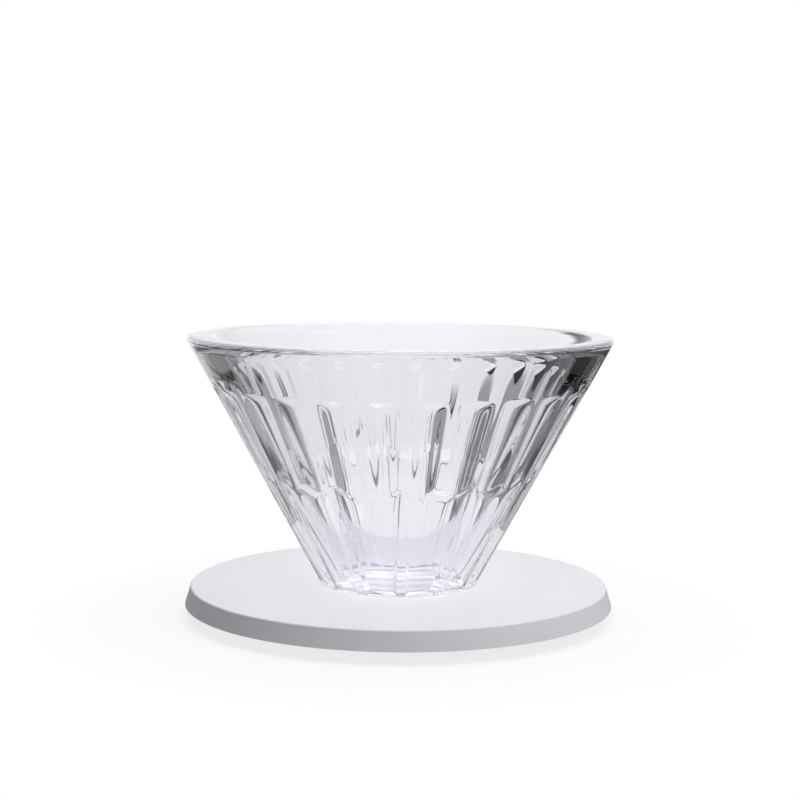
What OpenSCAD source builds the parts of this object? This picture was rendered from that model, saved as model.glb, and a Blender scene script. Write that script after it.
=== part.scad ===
// Pour over coffee dripper: a pressed glass cone, fluted outside and smooth inside, which lifts
// out of a white plastic holder that stands on a cup. Every other ridge between the flutes ends
// halfway down, above a flat panel that reaches from one long ridge to the next. A flanged
// silicone sleeve cushions the glass on the holder and grips its neck.
// Millimetres, +Z up, origin on the axis at the surface that the holder's hub stands on.

/* [Glass cone] */
// Diameter over the rounded rim
rim_d = 104; // [90:1:125]
// Width of the rim, from its outermost edge to the inside of the cone
rim_w = 5.3; // [4.5:0.1:7]
// Radius of the rim's outer edge
lip_r = 0.9; // [0.4:0.1:1.6]
// Radius of the rim's inner edge
inner_lip_r = 0.6; // [0.3:0.1:1.2]
// Half angle of the outside of the cone
outer_angle = 28.5; // [27:0.25:29.5]
// Half angle of the inside of the cone, which suits a 60 degree paper filter
inner_angle = 30; // [29:0.25:30.5]
// Diameter of the outlet
outlet_d = 18; // [14:0.5:19]
// Length of the outlet's straight bore
outlet_len = 3; // [2:0.5:6]
// Outside diameter of the neck below the cone
neck_d = 30; // [29:0.25:31]
// Chamfer on the neck's lower edge
neck_chamfer = 0.8; // [0.3:0.1:1.5]
// Height of the outlet's edge above the standing surface
neck_clearance = 0.8; // [0.5:0.1:2]

/* [Flutes outside] */
// Number of flat panels, with two flutes above each of them
panels = 13; // [10:1:16]
// Height of the plain band between the rim and the flutes' tops
band_h = 11.6; // [8:0.2:16]
// Height from the flutes' tops to the upper edges of the panels
short_ridge_h = 25.4; // [18:0.2:32]
// Depth of the flutes at their tops
top_depth = 1; // [0.7:0.1:1.4]
// Depth of the flutes at the height of the panels' upper edges
low_depth = 0.4; // [0.3:0.05:0.5]
// Width of the ridge between two flutes at their tops
ridge_w = 1.5; // [0.8:0.1:2.4]
// Width of a long ridge where it stands between two panels
long_ridge_w = 1.6; // [1:0.1:2.4]
// How far the panels lie below a flat that would join two long ridges
panel_sink = 0.1; // [0.05:0.05:0.3]
// Slope of the ramp at the top of a flute, against the cone's side
top_ramp = 20; // [15:1:40]
// Slope of the ramp that ends a short ridge, against the panel
low_ramp = 12; // [9:0.5:18]

/* [Holder] */
// Diameter over the holder's lower edge
holder_d = 105.4; // [95:0.2:125]
// Height of the holder's edge
edge_h = 4.6; // [3.5:0.1:8]
// How much further out the edge is below than above
edge_flare = 1.4; // [0.4:0.1:3]
// Radius of the edge's upper corner
edge_r = 0.5; // [0.2:0.1:1]
// Thickness of the holder's plate
plate_t = 2.6; // [2:0.1:3.4]
// Width of the edge's lower face
skirt_w = 2; // [1.4:0.1:4]
// How far the hub reaches below the holder's edge
hub_drop = 3; // [2:0.5:8]
// Thickness of the hub's wall
hub_wall = 3; // [2:0.1:4]
// Radius of the hub's lower edge
hub_edge_r = 0.8; // [0.3:0.1:1.5]
// Thickness of the ledge at the bottom of the hub
ledge_t = 1.6; // [1:0.1:2.4]
// Gap between the glass neck and the ledge
ledge_gap = 0.8; // [0.4:0.1:1.2]

/* [Silicone sleeve] */
// Thickness of the sleeve's wall, beads left out
sleeve_wall = 1.5; // [1:0.1:2.5]
// How far the grip beads stand in from the wall
bead_h = 0.5; // [0.3:0.05:0.8]
// Number of grip beads
bead_count = 3; // [2:1:4]
// How far the flange reaches out from the sleeve's wall
flange_w = 1.1; // [0.6:0.1:2]
// Thickness of the flange
flange_t = 1.2; // [0.8:0.1:2]
// How far the flange stands above the holder
flange_proud = 0.2; // [0.1:0.05:0.5]
// Radial clearance of the sleeve on the neck and in the hub
sleeve_fit = 0.05; // [0.02:0.01:0.1]
// Gap between the sleeve's lower end and the hub's ledge
sleeve_end_gap = 0.3; // [0.1:0.1:0.8]

/* [Hidden] */
$fn = 96;

// Overlap that joins two solids, and the run of a cutter past a face
join = 0.5;
arc_steps = 10;

// Heights above the standing surface
edge_low_h = hub_drop;
plate_top_h = edge_low_h + edge_h;
plate_low_h = plate_top_h - plate_t;
shoulder_h = plate_top_h + flange_proud;
recess_h = shoulder_h - flange_t;
bore_top_h = neck_clearance + outlet_len;
inner_rim_r = rim_d / 2 - rim_w;
outlet_r = outlet_d / 2;
rim_h = bore_top_h + (inner_rim_r - outlet_r) / tan(inner_angle);

// The outside of the cone, carried up to a sharp corner at the rim and down to its own apex
corner_r = rim_d / 2 + lip_r * (tan(outer_angle) + 1 / cos(outer_angle) - 1);
outer_apex_h = rim_h - corner_r / tan(outer_angle);
inner_apex_h = bore_top_h - outlet_r / tan(inner_angle);
function outer_r(h) = (h - outer_apex_h) * tan(outer_angle);
function inner_r(h) = (h - inner_apex_h) * tan(inner_angle);

// Radii about the axis, from the neck outwards
neck_r = neck_d / 2;
bead_r = neck_r + sleeve_fit;
sleeve_in_r = bead_r + bead_h;
sleeve_out_r = sleeve_in_r + sleeve_wall;
hub_bore_r = sleeve_out_r + sleeve_fit;
hub_r = hub_bore_r + hub_wall;
flange_r = sleeve_out_r + flange_w;
recess_r = flange_r + sleeve_fit;
ledge_r = neck_r + ledge_gap;
sleeve_low_h = ledge_t + sleeve_end_gap;
edge_low_r = holder_d / 2;
edge_top_r = edge_low_r - edge_flare;

// Flutes: their angles about the axis, and the distance along the cone's side from its apex
pitch = 180 / panels;
flute_top_h = rim_h - band_h;
flute_half = (pitch - ridge_w / outer_r(flute_top_h) * 180 / PI) / 2;
flute_top_l = (flute_top_h - outer_apex_h) / cos(outer_angle);

// Radius of the flutes' round troughs, from half the width and the depth of their tops
top_chord = outer_r(flute_top_h) * sin(flute_half);
top_sink = top_depth - outer_r(flute_top_h) * (1 - cos(flute_half)) * cos(outer_angle);
trough_r = (top_chord * top_chord + top_sink * top_sink) / (2 * top_sink);

// Panels: the flat that joins two long ridges, and where it meets a short ridge's ramp
panel_top_h = flute_top_h - short_ridge_h;
panel_tilt = atan(tan(outer_angle) * cos(pitch));
panel_top_l = (panel_top_h - shoulder_h) / cos(panel_tilt);

glass_colour = [0.93, 0.95, 0.97, 0.4];
holder_colour = [0.93, 0.93, 0.94];
silicone_colour = [0.88, 0.89, 0.9];

// Points on an arc about centre c
function arc(c, r, from, to) =
    [for (i = [0 : arc_steps]) let (a = from + (to - from) * i / arc_steps)
        c + r * [cos(a), sin(a)]];

// Section of the glass: outside, rim, inside, outlet and neck
module glass_section() {
    lip_c = [rim_d / 2 - lip_r, rim_h - lip_r];
    inner_lip_c = [inner_r(rim_h) + inner_lip_r * (1 / cos(inner_angle) - tan(inner_angle)),
                   rim_h - inner_lip_r];
    polygon(concat(
        [[neck_r, shoulder_h], [outer_r(shoulder_h), shoulder_h]],
        arc(lip_c, lip_r, -outer_angle, 90),
        arc(inner_lip_c, inner_lip_r, 90, 180 - inner_angle),
        [[outlet_r, bore_top_h], [outlet_r, neck_clearance],
         [neck_r - neck_chamfer, neck_clearance], [neck_r, neck_clearance + neck_chamfer]]));
}

// Middle of a trough that is depth deep at height h, in the plane through the cone's axis
function trough_c(h, depth) =
    let (out = trough_r - depth)
    [outer_r(h) + out * cos(outer_angle), h - out * sin(outer_angle)];

// A flute's trough is a round cutter that lies along the cone's side and rises out of it
module trough() {
    top_c = trough_c(flute_top_h, top_depth);
    run = top_c - trough_c(panel_top_h, low_depth);
    length = (flute_top_h - shoulder_h) / cos(outer_angle) + 2 * join;
    translate([top_c[0], 0, top_c[1]]) rotate([0, atan2(run[0], run[1]), 0])
        translate([0, 0, join - length]) cylinder(h = length, r = trough_r);
}

// The space beyond a flat ramp that leaves the cone's side at the tops of the flutes
module beyond_top_ramp() {
    side = 2 * rim_h;
    translate([flute_top_l * sin(outer_angle), 0, outer_apex_h + flute_top_l * cos(outer_angle)])
        rotate([0, 90 + outer_angle + top_ramp, 0])
            translate([-side / 2, -side / 2, 0]) cube(side);
}

module flutes() {
    for (i = [0 : 2 * panels - 1])
        rotate((i + 0.5) * pitch - 90) intersection() {
            trough();
            beyond_top_ramp();
        }
}

// The space outside one panel: between two long ridges and under the ramp of a short one
module panel_space() {
    side = 2 * rim_h;
    intersection() {
        translate([outer_r(shoulder_h) * cos(pitch), 0, shoulder_h]) rotate([0, panel_tilt, 0])
            translate([-panel_sink, -side / 2, 0]) intersection() {
                translate([0, 0, -join]) cube(side);
                translate([0, 0, panel_top_l]) rotate([0, low_ramp - 90, 0])
                    translate([-side / 2, 0, -side]) cube(side);
            }
        rotate(-pitch) translate([0, long_ridge_w / 2, 0]) cube(side);
        rotate(pitch) translate([0, -side - long_ridge_w / 2, 0]) cube(side);
    }
}

module glass_cone() {
    color(glass_colour) difference() {
        rotate_extrude() glass_section();
        flutes();
        for (i = [0 : panels - 1])
            rotate((i + 0.5) * 2 * pitch - 90) panel_space();
    }
}

// Plate, flared edge and hub, with the recess and bore that hold the sleeve
module holder_plate() {
    edge_slope = atan2(edge_flare, edge_h);
    corner_c = [edge_top_r - edge_r * tan(45 - edge_slope / 2), plate_top_h - edge_r];
    hub_edge_c = [hub_r - hub_edge_r, hub_edge_r];
    color(holder_colour) rotate_extrude() polygon(concat(
        [[ledge_r, 0]],
        arc(hub_edge_c, hub_edge_r, -90, 0),
        [[hub_r, plate_low_h], [edge_low_r - skirt_w - edge_flare, plate_low_h],
         [edge_low_r - skirt_w, edge_low_h], [edge_low_r, edge_low_h]],
        arc(corner_c, edge_r, edge_slope, 90),
        [[recess_r, plate_top_h], [recess_r, recess_h], [hub_bore_r, recess_h],
         [hub_bore_r, ledge_t], [ledge_r, ledge_t]]));
}

// Flange under the glass shoulder, wall in the hub, and rounded beads that grip the neck
module seat_sleeve() {
    bead_gap = (recess_h - sleeve_low_h) / bead_count;
    color(silicone_colour) rotate_extrude() {
        polygon([[sleeve_in_r, sleeve_low_h], [sleeve_out_r, sleeve_low_h],
                 [sleeve_out_r, recess_h], [flange_r, recess_h],
                 [flange_r, shoulder_h], [sleeve_in_r, shoulder_h]]);
        for (i = [0 : bead_count - 1])
            intersection() {
                translate([sleeve_in_r, sleeve_low_h + (i + 0.5) * bead_gap]) circle(bead_h);
                translate([bead_r, sleeve_low_h])
                    square([bead_h + join, recess_h - sleeve_low_h]);
            }
    }
}

glass_cone();
holder_plate();
seat_sleeve();
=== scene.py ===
import math

import bmesh
import bpy
import numpy as np
from mathutils import Matrix, Vector


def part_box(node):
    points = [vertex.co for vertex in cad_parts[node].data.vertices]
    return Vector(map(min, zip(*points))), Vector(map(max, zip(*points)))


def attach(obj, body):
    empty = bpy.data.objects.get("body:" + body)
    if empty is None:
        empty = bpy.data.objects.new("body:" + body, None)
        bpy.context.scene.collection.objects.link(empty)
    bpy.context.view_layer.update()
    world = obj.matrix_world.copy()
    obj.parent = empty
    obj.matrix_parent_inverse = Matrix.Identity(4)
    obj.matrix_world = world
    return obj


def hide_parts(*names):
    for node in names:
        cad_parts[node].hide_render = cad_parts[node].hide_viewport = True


# A pour over coffee dripper: a pressed glass cone, fluted outside and smooth inside, that stands
# in a white plastic holder with a silicone sleeve round its neck. Metres, in the frame's axes.
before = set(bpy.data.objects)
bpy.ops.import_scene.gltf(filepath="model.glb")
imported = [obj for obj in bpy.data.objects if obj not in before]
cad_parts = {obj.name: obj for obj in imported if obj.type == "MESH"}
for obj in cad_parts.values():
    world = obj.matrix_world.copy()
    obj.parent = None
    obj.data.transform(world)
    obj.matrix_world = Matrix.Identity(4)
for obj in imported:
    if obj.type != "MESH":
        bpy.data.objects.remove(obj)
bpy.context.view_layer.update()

MM = 0.001

# The photograph's camera: it looks at the axis from the front, a little from the left and above
CAMERA_LENS = 80.84
CAMERA_SENSOR = 36.0
CAMERA_DISTANCE = 439.3 * MM
CAMERA_ABOVE_EDGE = 98.07 * MM
CAMERA_AZIMUTH = math.radians(-1.6)
CAMERA_PITCH = math.radians(6.234)
CAMERA_ROLL = math.radians(0.511)

# Heights and radii that the frame gives
GLASS_LOW, GLASS_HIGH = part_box("glass_cone")
_, HOLDER_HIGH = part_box("holder_plate")
_, SLEEVE_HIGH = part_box("seat_sleeve")
RIM_H = GLASS_HIGH.z
RIM_R = max(GLASS_HIGH.x, GLASS_HIGH.y)
NECK_LOW_H = GLASS_LOW.z
SHOULDER_H = SLEEVE_HIGH.z
PLATE_TOP_H = HOLDER_HIGH.z
EDGE_H = 4.6 * MM
EDGE_LOW_H = PLATE_TOP_H - EDGE_H

# The glass
OUTER_ANGLE = math.radians(28.5)
INNER_ANGLE = math.radians(30)
LIP_R = 0.9 * MM
INNER_LIP_R = 0.6 * MM
OUTLET_R = 9 * MM
OUTLET_LEN = 3 * MM
NECK_R = 15 * MM
NECK_EDGE_R = 0.8 * MM
SHOULDER_EDGE_R = 0.4 * MM

# Flutes outside. Every other ridge between them ends at a ramp, the hip, above a flat panel,
# and the long ridges between the panels widen towards the foot
FLUTES = 26
BAND_H = 11.6 * MM
SHORT_RIDGE_H = 25.4 * MM
TOP_DEPTH = 1.0 * MM
LOW_DEPTH = 0.5 * MM
FLUTE_SPAN = 0.87
TOP_RAMP = math.radians(20)
HIP_RAMP = math.radians(12)
HIP_H = 4.2 * MM
PANEL_SINK = 0.1 * MM
LONG_RIDGE_TOP_W = 1.1 * MM
LONG_RIDGE_FOOT_W = 2.6 * MM
RIDGE_FLANK = math.radians(44)
RIDGE_ROUND = 0.05 * MM
RAMP_ROUND = 0.35 * MM
PANEL_ROUND = 0.15 * MM
CREASE_ROUND = 0.06 * MM
COLUMNS_PER_FLUTE = 24

# Lines of the cone's two sides
CORNER_R = RIM_R + LIP_R * (math.tan(OUTER_ANGLE) + 1 / math.cos(OUTER_ANGLE) - 1)
OUTER_APEX_H = RIM_H - CORNER_R / math.tan(OUTER_ANGLE)
BORE_TOP_H = NECK_LOW_H + OUTLET_LEN
INNER_APEX_H = BORE_TOP_H - OUTLET_R / math.tan(INNER_ANGLE)
FLUTE_TOP_H = RIM_H - BAND_H
PANEL_TOP_H = FLUTE_TOP_H - SHORT_RIDGE_H
PITCH = 2 * math.pi / FLUTES


def outer_r(h):
    """Radius of the cone's outside, carried on past the rim and the shoulder."""
    return (h - OUTER_APEX_H) * math.tan(OUTER_ANGLE)


def inner_r(h):
    """Radius of the cone's inside."""
    return (h - INNER_APEX_H) * math.tan(INNER_ANGLE)


def make_camera():
    """The camera that the photograph's outlines give."""
    camera_data = bpy.data.cameras.new("camera")
    camera_data.lens = CAMERA_LENS
    camera_data.sensor_width = CAMERA_SENSOR
    camera = bpy.data.objects.new("camera", camera_data)
    bpy.context.scene.collection.objects.link(camera)
    out = Vector((math.sin(CAMERA_AZIMUTH), -math.cos(CAMERA_AZIMUTH), 0))
    up = Vector((0, 0, 1))
    right = up.cross(out)
    look = -out * math.cos(CAMERA_PITCH) - up * math.sin(CAMERA_PITCH)
    above = right.cross(look)
    turned_right = right * math.cos(CAMERA_ROLL) + above * math.sin(CAMERA_ROLL)
    turned_above = turned_right.cross(look)
    matrix = Matrix((turned_right, turned_above, -look)).transposed().to_4x4()
    matrix.translation = out * CAMERA_DISTANCE + up * (EDGE_LOW_H + CAMERA_ABOVE_EDGE)
    camera.matrix_world = matrix
    bpy.context.scene.camera = camera


make_camera()


# Meshes

def finish_piece(name, bm, body, node, material):
    """Makes a piece of a bmesh, which rides on a body and stands for a CAD node."""
    mesh = bpy.data.meshes.new(name)
    bm.to_mesh(mesh)
    bm.free()
    mesh.shade_smooth()
    piece = bpy.data.objects.new(name, mesh)
    bpy.context.scene.collection.objects.link(piece)
    mesh.materials.append(material)
    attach(piece, body)
    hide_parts(node)
    return piece


def arc(centre_r, centre_h, radius, start, end, steps):
    """Points on an arc of the section, from one angle in degrees to another."""
    angles = [math.radians(start + (end - start) * i / steps) for i in range(steps + 1)]
    return [(centre_r + radius * math.cos(a), centre_h + radius * math.sin(a), 0) for a in angles]


def spin_section(points, columns):
    """A closed section of (radius, height, cuts before the next point), spun about the axis."""
    bm = bmesh.new()
    verts = [bm.verts.new((0, -r, h)) for r, h, cuts in points]
    edges = [bm.edges.new((a, b)) for a, b in zip(verts, verts[1:] + verts[:1])]
    for edge, (r, h, cuts) in zip(edges, points):
        if cuts:
            bmesh.ops.subdivide_edges(bm, edges=[edge], cuts=cuts)
    bmesh.ops.spin(bm, geom=bm.verts[:] + bm.edges[:], cent=(0, 0, 0), axis=(0, 0, 1),
                   angle=2 * math.pi, steps=columns, use_merge=True)
    bmesh.ops.remove_doubles(bm, verts=bm.verts, dist=1e-7)
    bmesh.ops.recalc_face_normals(bm, faces=bm.faces)
    return bm


def glass_section():
    """The glass from its shoulder up the outside, over the rim, down the inside and the neck."""
    outer_deg, inner_deg = math.degrees(OUTER_ANGLE), math.degrees(INNER_ANGLE)
    lip = arc(RIM_R - LIP_R, RIM_H - LIP_R, LIP_R, -outer_deg, 90, 8)
    inner_lip_r = inner_r(RIM_H)
    inner_lip_r += INNER_LIP_R * (1 / math.cos(INNER_ANGLE) - math.tan(INNER_ANGLE))
    inner_lip = arc(inner_lip_r, RIM_H - INNER_LIP_R, INNER_LIP_R, 90, 180 - inner_deg, 6)
    wall = [(PANEL_TOP_H - 3 * MM, 14), (PANEL_TOP_H + 7 * MM, 24), (FLUTE_TOP_H - 5 * MM, 10),
            (FLUTE_TOP_H + 1.5 * MM, 24)]
    inside = [(FLUTE_TOP_H, 6), (PANEL_TOP_H, 8), (BORE_TOP_H + 4 * MM, 6)]
    points = [(NECK_R, SHOULDER_H, 1)]
    points += [(r, h, 0) for r, h, _ in arc(
        outer_r(SHOULDER_H) - SHOULDER_EDGE_R * math.tan(math.radians(45 - outer_deg / 2)),
        SHOULDER_H + SHOULDER_EDGE_R, SHOULDER_EDGE_R, -90, -outer_deg, 4)]
    points[-1] = points[-1][:2] + (wall[0][1],)
    wall_cuts = [cuts for _, cuts in wall[1:]] + [4]
    points += [(outer_r(h), h, cuts) for (h, _), cuts in zip(wall, wall_cuts)]
    points += lip[:-1] + [lip[-1][:2] + (2,)]
    points += inner_lip[:-1] + [inner_lip[-1][:2] + (inside[0][1],)]
    inside_cuts = [cuts for _, cuts in inside[1:]] + [2]
    points += [(inner_r(h), h, cuts) for (h, _), cuts in zip(inside, inside_cuts)]
    points += [(OUTLET_R, BORE_TOP_H, 1)]
    points += [(r, h, 0) for r, h, _ in arc(
        OUTLET_R + NECK_EDGE_R / 2, NECK_LOW_H + NECK_EDGE_R / 2, NECK_EDGE_R / 2, 180, 270, 4)]
    points += arc(NECK_R - NECK_EDGE_R, NECK_LOW_H + NECK_EDGE_R, NECK_EDGE_R, -90, 0, 5)
    return points


def smooth_least(a, b, k):
    """The lesser of two depths, rounded where they meet."""
    return 0.5 * (a + b - np.sqrt((a - b) ** 2 + k * k))


def smooth_above_zero(a, k):
    """A depth kept above zero, rounded where it would cross it."""
    return 0.5 * (a + np.sqrt(a * a + k * k))


def from_nearest(angle, period):
    """The angle from the nearest multiple of a period."""
    return (angle + period / 2) % period - period / 2


def flute_depth(h, angle):
    """How far the flutes and the panels under them lie below the cone's side."""
    share = (h - PANEL_TOP_H) / (FLUTE_TOP_H - PANEL_TOP_H)
    depth = np.maximum(LOW_DEPTH + (TOP_DEPTH - LOW_DEPTH) * share, 0)
    from_middle = np.abs(from_nearest(angle - PITCH / 2, PITCH)) / (FLUTE_SPAN * PITCH / 2)
    flute = depth * (0.5 + 0.5 * np.cos(math.pi * np.minimum(from_middle, 1)))
    down = (FLUTE_TOP_H - h) / math.cos(OUTER_ANGLE)
    flute = smooth_least(flute, down * math.tan(TOP_RAMP), RAMP_ROUND)
    from_panel = from_nearest(angle - PITCH, 2 * PITCH)
    flat = outer_r(h) * math.cos(OUTER_ANGLE) * (1 - math.cos(PITCH) / np.cos(from_panel))
    hip = (PANEL_TOP_H + HIP_H - h) / math.cos(OUTER_ANGLE) * math.tan(HIP_RAMP)
    up = (h - SHOULDER_H) / (PANEL_TOP_H - SHOULDER_H)
    ridge_w = LONG_RIDGE_FOOT_W + (LONG_RIDGE_TOP_W - LONG_RIDGE_FOOT_W) * up
    from_ridge = (PITCH - np.abs(from_panel)) * outer_r(h) - ridge_w / 2
    flank = from_ridge * math.tan(RIDGE_FLANK)
    panel = smooth_least(smooth_least(flat + PANEL_SINK, flank, PANEL_ROUND), hip, PANEL_ROUND)
    return smooth_above_zero(-smooth_least(-flute, -panel, CREASE_ROUND), RIDGE_ROUND)


def sculpt_glass(mesh):
    """Presses the flutes into the outside of the plain glass."""
    co = np.zeros(len(mesh.vertices) * 3)
    mesh.vertices.foreach_get("co", co)
    co = co.reshape(-1, 3)
    r, h = np.hypot(co[:, 0], co[:, 1]), co[:, 2]
    angle = np.arctan2(co[:, 0], -co[:, 1])
    outside = (np.abs(r - outer_r(h)) < 1e-6) & (h > SHOULDER_H)
    press = np.where(outside, flute_depth(h, angle), 0)
    r = r - press * math.cos(OUTER_ANGLE)
    h = h + press * math.sin(OUTER_ANGLE)
    co = np.stack([r * np.sin(angle), -r * np.cos(angle), h], axis=1)
    mesh.vertices.foreach_set("co", co.ravel())
    mesh.update()


# Materials

def new_material(name):
    material = bpy.data.materials.new(name)
    material.use_nodes = True
    nodes, links = material.node_tree.nodes, material.node_tree.links
    return material, nodes, links, nodes["Principled BSDF"]


def grain_group():
    """Mottling and fine grain that follow the object's own coordinates."""
    group = bpy.data.node_groups.new("moulded_grain", "ShaderNodeTree")
    for name in ("Grain Scale", "Mottle Scale"):
        group.interface.new_socket(name, in_out="INPUT", socket_type="NodeSocketFloat")
    for name in ("Grain", "Mottle"):
        group.interface.new_socket(name, in_out="OUTPUT", socket_type="NodeSocketFloat")
    nodes, links = group.nodes, group.links
    inputs, outputs = nodes.new("NodeGroupInput"), nodes.new("NodeGroupOutput")
    coords = nodes.new("ShaderNodeTexCoord")
    for scale, out, detail in (("Grain Scale", "Grain", 2), ("Mottle Scale", "Mottle", 4)):
        noise = nodes.new("ShaderNodeTexNoise")
        noise.inputs["Detail"].default_value = detail
        links.new(coords.outputs["Object"], noise.inputs["Vector"])
        links.new(inputs.outputs[scale], noise.inputs["Scale"])
        links.new(noise.outputs["Fac"], outputs.inputs[out])
    return group


GRAIN = grain_group()


def add_grain(nodes, grain_scale, mottle_scale):
    node = nodes.new("ShaderNodeGroup")
    node.node_tree = GRAIN
    node.inputs["Grain Scale"].default_value = grain_scale
    node.inputs["Mottle Scale"].default_value = mottle_scale
    return node


def spread(nodes, links, value, low, high):
    """A value from 0 to 1 spread over another range."""
    node = nodes.new("ShaderNodeMapRange")
    node.inputs["To Min"].default_value = low
    node.inputs["To Max"].default_value = high
    links.new(value, node.inputs["Value"])
    return node.outputs["Result"]


def tint(nodes, links, value, low, high):
    """A colour between two, by a value from 0 to 1."""
    node = nodes.new("ShaderNodeMix")
    node.data_type = "RGBA"
    node.inputs["A"].default_value = (*low, 1)
    node.inputs["B"].default_value = (*high, 1)
    links.new(value, node.inputs["Factor"])
    return node.outputs["Result"]


def bump(nodes, links, shader, height, distance, strength):
    """Fine relief on a shader's surface."""
    node = nodes.new("ShaderNodeBump")
    node.inputs["Distance"].default_value = distance
    node.inputs["Strength"].default_value = strength
    links.new(height, node.inputs["Height"])
    links.new(node.outputs["Normal"], shader.inputs["Normal"])


# Rays that have met more than this many faces of the glass end in a painted glow instead of the
# glass, pale near the middle and painted dark beyond these distances to the side
TRAPPED_AFTER = 5.5
PAINTED_PALE_WITHIN = 24 * MM
PAINTED_DARK_BEYOND = 38 * MM


def clear_glass():
    """Faintly tinted glass; rays that stay long in its wall end in a painted glow, pale in the middle
    and dark at the sides.
    """
    material, nodes, links, shader = new_material("clear_glass")
    grain = add_grain(nodes, 260, 55)
    shader.inputs["IOR"].default_value = 1.5
    shader.inputs["Transmission Weight"].default_value = 1
    clear = tint(nodes, links, grain.outputs["Mottle"], (0.915, 0.915, 0.95), (0.945, 0.945, 0.975))
    links.new(clear, shader.inputs["Base Color"])
    links.new(spread(nodes, links, grain.outputs["Grain"], 0.0, 0.012), shader.inputs["Roughness"])
    bump(nodes, links, shader, grain.outputs["Mottle"], 0.05 * MM, 0.3)
    coords, split = nodes.new("ShaderNodeTexCoord"), nodes.new("ShaderNodeSeparateXYZ")
    links.new(coords.outputs["Object"], split.inputs[0])
    sideways = nodes.new("ShaderNodeMath")
    sideways.operation = "ABSOLUTE"
    links.new(split.outputs["X"], sideways.inputs[0])
    at_side = spread(nodes, links, sideways.outputs[0], 0, 1)
    at_side.node.inputs["From Min"].default_value = PAINTED_PALE_WITHIN
    at_side.node.inputs["From Max"].default_value = PAINTED_DARK_BEYOND
    # Painted glow and painted shade that stand in for light trapped in the wall
    painted_trapped_glow = nodes.new("ShaderNodeEmission")
    links.new(tint(nodes, links, at_side, (0.7, 0.7, 0.74), (0.1, 0.1, 0.11)),
              painted_trapped_glow.inputs["Color"])
    path, trapped = nodes.new("ShaderNodeLightPath"), nodes.new("ShaderNodeMath")
    trapped.operation = "GREATER_THAN"
    trapped.inputs[1].default_value = TRAPPED_AFTER
    links.new(path.outputs["Ray Depth"], trapped.inputs[0])
    mix = nodes.new("ShaderNodeMixShader")
    links.new(trapped.outputs[0], mix.inputs[0])
    links.new(shader.outputs[0], mix.inputs[1])
    links.new(painted_trapped_glow.outputs[0], mix.inputs[2])
    links.new(mix.outputs[0], nodes["Material Output"].inputs["Surface"])
    return material


def white_plastic():
    """Satin white plastic of the holder."""
    material, nodes, links, shader = new_material("white_plastic")
    grain = add_grain(nodes, 9000, 60)
    shader.inputs["IOR"].default_value = 1.49
    shader.inputs["Subsurface Weight"].default_value = 0.08
    shader.inputs["Subsurface Radius"].default_value = (1.0, 1.0, 1.0)
    shader.inputs["Subsurface Scale"].default_value = 1 * MM
    links.new(tint(nodes, links, grain.outputs["Mottle"], (0.80, 0.795, 0.83), (0.83, 0.825, 0.86)),
              shader.inputs["Base Color"])
    links.new(spread(nodes, links, grain.outputs["Grain"], 0.42, 0.58), shader.inputs["Roughness"])
    bump(nodes, links, shader, grain.outputs["Grain"], 0.03 * MM, 0.25)
    return material


def silicone():
    """Matt, slightly translucent silicone of the sleeve."""
    material, nodes, links, shader = new_material("silicone")
    grain = add_grain(nodes, 6000, 180)
    shader.inputs["IOR"].default_value = 1.41
    shader.inputs["Subsurface Weight"].default_value = 0.3
    shader.inputs["Subsurface Radius"].default_value = (1.0, 1.0, 1.0)
    shader.inputs["Subsurface Scale"].default_value = 2 * MM
    links.new(tint(nodes, links, grain.outputs["Mottle"], (0.90, 0.905, 0.92), (0.94, 0.945, 0.96)),
              shader.inputs["Base Color"])
    links.new(spread(nodes, links, grain.outputs["Grain"], 0.5, 0.65), shader.inputs["Roughness"])
    bump(nodes, links, shader, grain.outputs["Grain"], 0.03 * MM, 0.3)
    return material


glass_bm = spin_section(glass_section(), FLUTES * COLUMNS_PER_FLUTE)
glass = finish_piece(
    "glass_cone_clear", glass_bm, "cone", "glass_cone", clear_glass())
sculpt_glass(glass.data)
# The lamps reach the holder, the sleeve and the inside through the glass
glass.visible_shadow = False
for node_name, node_material in (("holder_plate", white_plastic()), ("seat_sleeve", silicone())):
    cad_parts[node_name].data.materials.clear()
    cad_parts[node_name].data.materials.append(node_material)


# Studio

FLOOR_SIZE = 6.0
# Dark lines painted into the floor's glow, which only gloss and glass rays see: a normal towards the
# line's bright side, the distance along it, the brightness on the line and beyond it, and where the
# line ends at the back
PAINTED_DARK_LINES = (((0.9384, 0.3446, 0), -0.0106, 0.04, 0.45, 0.24),
               ((-0.9127, 0.4086, 0), -0.0203, 0.06, 0.5, 0.24),
               ((-0.9889, 0.1484, 0), -0.0297, 0.1, 0.4, 0.32),
               ((-0.997, -0.078, 0), -0.051, 0.25, 1.0, 0.32),
               ((0.997, -0.078, 0), -0.051, 0.25, 1.0, 0.2),
               ((1, 0, 0), -0.112, 0.05, 0.5, 0.2),
               ((-1, 0, 0), -0.117, 0.03, 0.04, 0.42))
EDGE_SOFT = 3 * MM
EDGE_LINE = (1 * MM, 4 * MM)
EDGE_END = (-30 * MM, 50 * MM)

# Beside the object the floor's glow that gloss and glass see is painted dark between these places
# along Y, but not under the holder
DARK_BACK = (35 * MM, 75 * MM)
DARK_FRONT = (-60 * MM, -100 * MM)
DARK_NEAR = (60 * MM, 50 * MM)
BESIDE_LEVEL = 0.2

# The share of the floor that is plain white to the camera, near the object and away from it
FLOOR_GLOW = 0.8
GLOW_AWAY = (54 * MM, 100 * MM)

# The floor's colour that diffuse rays meet is painted darker at the left, a painted shade that makes
# the light it returns to the object stronger at the right
BOUNCE_X = (-140 * MM, 60 * MM)
BOUNCE_LEFT, BOUNCE_RIGHT = (0.12, 0.12, 0.125), (0.62, 0.62, 0.63)
PAPER = (0.9, 0.9, 0.9)

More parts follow.
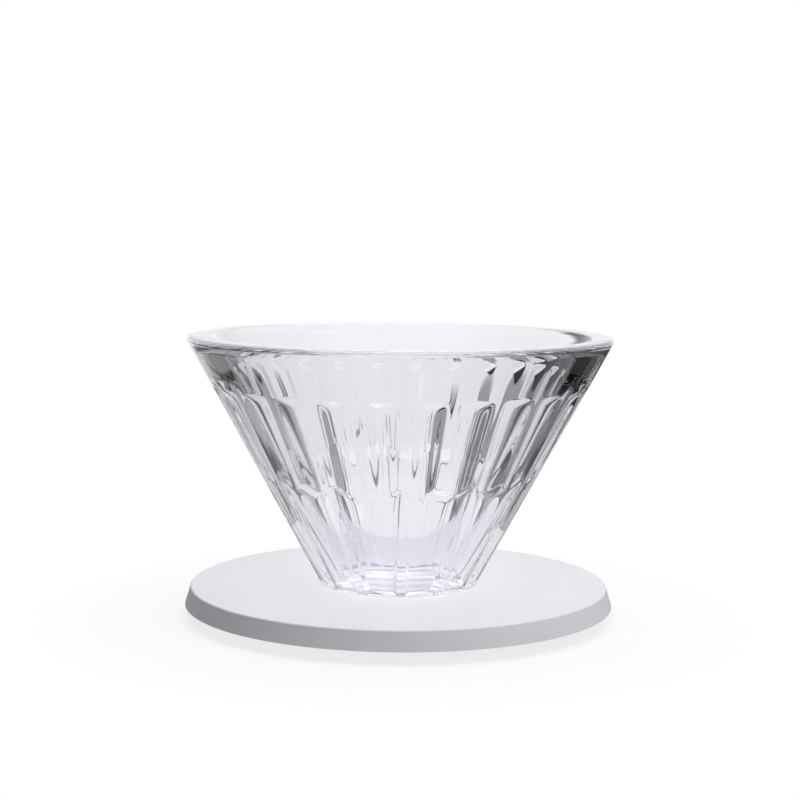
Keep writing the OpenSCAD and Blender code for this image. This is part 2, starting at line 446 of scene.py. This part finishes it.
# The studio round the object: its light, its brightness from below to above, and its dark sides
AMBIENT_X = (-0.85, 0.1)
AMBIENT_LEFT, AMBIENT_RIGHT = 0.08, 0.43
BACKDROP_STOPS = ((0.0, 1.0), (0.54, 1.0), (0.62, 0.8), (0.75, 0.5), (1.0, 0.5))
DARK_RIGHT = (math.radians(36), math.radians(14))
DARK_LEFT = (math.radians(-70), math.radians(-35))
BRIGHT_FRONT = (-0.1, -0.5)

# The small lamps at the glass's foot
FOOT_SPOT_R = 38 * MM
FOOT_SPOT_H = 600 * MM
FOOT_SPOT_BACK = 22 * MM
NECK_LIGHT_H = 14 * MM


def seen_ray(nodes, links):
    """1 for rays that show a surface: those of the camera, of gloss and of glass."""
    path = nodes.new("ShaderNodeLightPath")
    total = path.outputs["Is Camera Ray"]
    for name in ("Is Glossy Ray", "Is Transmission Ray"):
        total = combine(nodes, links, "MAXIMUM", total, path.outputs[name])
    return path, total


def edge_step(nodes, links, value, start, end):
    """A smooth step from 0 to 1 between two values."""
    step = spread(nodes, links, value, 0, 1)
    step.node.interpolation_type = "SMOOTHSTEP"
    step.node.inputs["From Min"].default_value = start
    step.node.inputs["From Max"].default_value = end
    return step


def combine(nodes, links, operation, first, second):
    """Two values put together by a Math node's operation."""
    node = nodes.new("ShaderNodeMath")
    node.operation = operation
    links.new(first, node.inputs[0])
    links.new(second, node.inputs[1])
    return node.outputs[0]


def make_floor():
    """A white floor that keeps the object's shadow, with painted dark lines and painted shade in the
    glow that gloss and glass see.
    """
    bm = bmesh.new()
    bmesh.ops.create_grid(bm, x_segments=1, y_segments=1, size=FLOOR_SIZE / 2)
    mesh = bpy.data.meshes.new("floor")
    bm.to_mesh(mesh)
    bm.free()
    floor = bpy.data.objects.new("floor", mesh)
    bpy.context.scene.collection.objects.link(floor)
    material, nodes, links, shader = new_material("floor_paper")
    shader.inputs["Roughness"].default_value = 0.9
    shader.inputs["Specular IOR Level"].default_value = 0
    path, seen = seen_ray(nodes, links)
    coords = nodes.new("ShaderNodeTexCoord")
    split = nodes.new("ShaderNodeSeparateXYZ")
    links.new(coords.outputs["Object"], split.inputs[0])
    distance = nodes.new("ShaderNodeVectorMath")
    distance.operation = "LENGTH"
    links.new(coords.outputs["Object"], distance.inputs[0])
    away = edge_step(nodes, links, distance.outputs["Value"], *GLOW_AWAY)
    painted_glass_glow = None
    # Painted dark lines in the glow, for gloss and glass rays only
    for normal, place, on_edge, beyond, end in PAINTED_DARK_LINES:
        along = nodes.new("ShaderNodeVectorMath")
        along.operation = "DOT_PRODUCT"
        along.inputs[1].default_value = normal
        links.new(coords.outputs["Object"], along.inputs[0])
        inward = along.outputs["Value"]
        at_back = edge_step(nodes, links, split.outputs["Y"], end + EDGE_END[0], end + EDGE_END[1])
        inside = edge_step(nodes, links, inward, place - EDGE_SOFT, place + EDGE_SOFT)
        before = edge_step(nodes, links, inward, place + EDGE_LINE[0], place + EDGE_LINE[1])
        after = edge_step(nodes, links, inward, place - EDGE_LINE[0], place - EDGE_LINE[1])
        line = combine(nodes, links, "MAXIMUM", before, after)
        for value, low in ((inside, beyond), (line, on_edge)):
            shown = combine(nodes, links, "MAXIMUM", value, at_back)
            factor = spread(nodes, links, shown, low, 1)
            painted_glass_glow = combine(nodes, links, "MULTIPLY", painted_glass_glow, factor) if painted_glass_glow else factor
    # Painted shade beside the object, for gloss and glass rays only
    beside = edge_step(nodes, links, split.outputs["Y"], *DARK_BACK)
    under = edge_step(nodes, links, distance.outputs["Value"], *DARK_NEAR)
    in_front = edge_step(nodes, links, split.outputs["Y"], *DARK_FRONT)
    for bright in (under, in_front):
        beside = combine(nodes, links, "MAXIMUM", beside, bright)
    beside = spread(nodes, links, beside, BESIDE_LEVEL, 1)
    painted_glass_glow = combine(nodes, links, "MULTIPLY", painted_glass_glow, beside)
    painted_glass_glow = combine(nodes, links, "MAXIMUM", painted_glass_glow, path.outputs["Is Camera Ray"])
    glow = nodes.new("ShaderNodeEmission")
    links.new(painted_glass_glow, glow.inputs["Color"])
    # Painted shade: the floor is darker to diffuse rays at the left
    rightward = edge_step(nodes, links, split.outputs["X"], *BOUNCE_X)
    painted_bounce_shade = tint(nodes, links, rightward, BOUNCE_LEFT, BOUNCE_RIGHT)
    paper = tint(nodes, links, path.outputs["Is Diffuse Ray"], PAPER, PAPER)
    links.new(painted_bounce_shade, paper.node.inputs["B"])
    links.new(paper, shader.inputs["Base Color"])
    mix = nodes.new("ShaderNodeMixShader")
    share = spread(nodes, links, away, FLOOR_GLOW, 1)
    links.new(combine(nodes, links, "MULTIPLY", seen, share), mix.inputs[0])
    links.new(shader.outputs[0], mix.inputs[1])
    links.new(glow.outputs[0], mix.inputs[2])
    links.new(mix.outputs[0], nodes["Material Output"].inputs["Surface"])
    mesh.materials.append(material)


def make_world():
    """White to the camera, a backdrop to gloss and glass, and soft light to everything else."""
    world = bpy.data.worlds.new("studio")
    bpy.context.scene.world = world
    world.use_nodes = True
    nodes, links = world.node_tree.nodes, world.node_tree.links
    ambient = nodes["Background"]
    ambient.inputs["Color"].default_value = (0.97, 0.98, 1.0, 1)
    path, seen = seen_ray(nodes, links)
    coords = nodes.new("ShaderNodeTexCoord")
    split = nodes.new("ShaderNodeSeparateXYZ")
    links.new(coords.outputs["Generated"], split.inputs[0])
    sideways = edge_step(nodes, links, split.outputs["X"], *AMBIENT_X)
    links.new(spread(nodes, links, sideways, AMBIENT_LEFT, AMBIENT_RIGHT), ambient.inputs["Strength"])
    ramp = nodes.new("ShaderNodeValToRGB")
    for place, level in BACKDROP_STOPS[1:-1]:
        ramp.color_ramp.elements.new(place)
    for element, (place, level) in zip(ramp.color_ramp.elements, BACKDROP_STOPS):
        element.position = place
        element.color = (level, level, level * 1.02, 1)
    upward = spread(nodes, links, split.outputs["Z"], 0, 1)
    upward.node.inputs["From Min"].default_value = -1
    links.new(upward, ramp.inputs[0])
    backdrop = nodes.new("ShaderNodeBackground")
    links.new(ramp.outputs["Color"], backdrop.inputs["Color"])
    bearing = combine(nodes, links, "ARCTAN2", split.outputs["X"], split.outputs["Y"])
    right_of = edge_step(nodes, links, bearing, *DARK_RIGHT)
    left_of = edge_step(nodes, links, bearing, *DARK_LEFT)
    beside = combine(nodes, links, "MINIMUM", right_of, left_of)
    in_front = edge_step(nodes, links, split.outputs["Y"], *BRIGHT_FRONT)
    beside = combine(nodes, links, "MAXIMUM", beside, in_front)
    links.new(spread(nodes, links, beside, BESIDE_LEVEL, 1), backdrop.inputs["Strength"])
    white = nodes.new("ShaderNodeBackground")
    white.inputs["Color"].default_value = (1, 1, 1, 1)
    first, second = nodes.new("ShaderNodeMixShader"), nodes.new("ShaderNodeMixShader")
    links.new(seen, first.inputs[0])
    links.new(ambient.outputs[0], first.inputs[1])
    links.new(backdrop.outputs[0], first.inputs[2])
    links.new(path.outputs["Is Camera Ray"], second.inputs[0])
    links.new(first.outputs[0], second.inputs[1])
    links.new(white.outputs[0], second.inputs[2])
    links.new(second.outputs[0], nodes["World Output"].inputs["Surface"])


def add_softbox(name, place, target, width, height, power):
    """A rectangular lamp that faces a target."""
    light = bpy.data.lights.new(name, "AREA")
    light.shape = "RECTANGLE"
    light.size, light.size_y = width, height
    light.energy = power
    lamp = bpy.data.objects.new(name, light)
    bpy.context.scene.collection.objects.link(lamp)
    lamp.location = place
    lamp.rotation_mode = "QUATERNION"
    lamp.rotation_quaternion = (Vector(target) - Vector(place)).to_track_quat("-Z", "Y")


def add_lamp(name, kind, place, power):
    """A small lamp that gloss and glass don't show."""
    light = bpy.data.lights.new(name, kind)
    light.energy = power
    light.shadow_soft_size = 5 * MM
    lamp = bpy.data.objects.new(name, light)
    bpy.context.scene.collection.objects.link(lamp)
    lamp.location = place
    lamp.visible_glossy = lamp.visible_transmission = False
    return light


make_floor()
make_world()
add_softbox("top_softbox", (0.05, 0.1, 0.75), (0, 0, 0.02), 0.7, 0.6, 4.0)
add_softbox("right_softbox", (0.7, -0.6, 0.45), (0, 0, 0.03), 0.35, 0.5, 1.1)
# These stand in for light that the glass gathers on the holder behind its foot, and in its neck
spot = add_lamp("foot_spot", "SPOT", (0, FOOT_SPOT_BACK, PLATE_TOP_H + FOOT_SPOT_H), 2.2)
spot.spot_size = 2 * math.atan(FOOT_SPOT_R / FOOT_SPOT_H)
spot.spot_blend = 0.8
add_lamp("neck_light", "POINT", (0, 0, NECK_LIGHT_H), 0.004)

bpy.context.scene.view_settings.view_transform = "Standard"
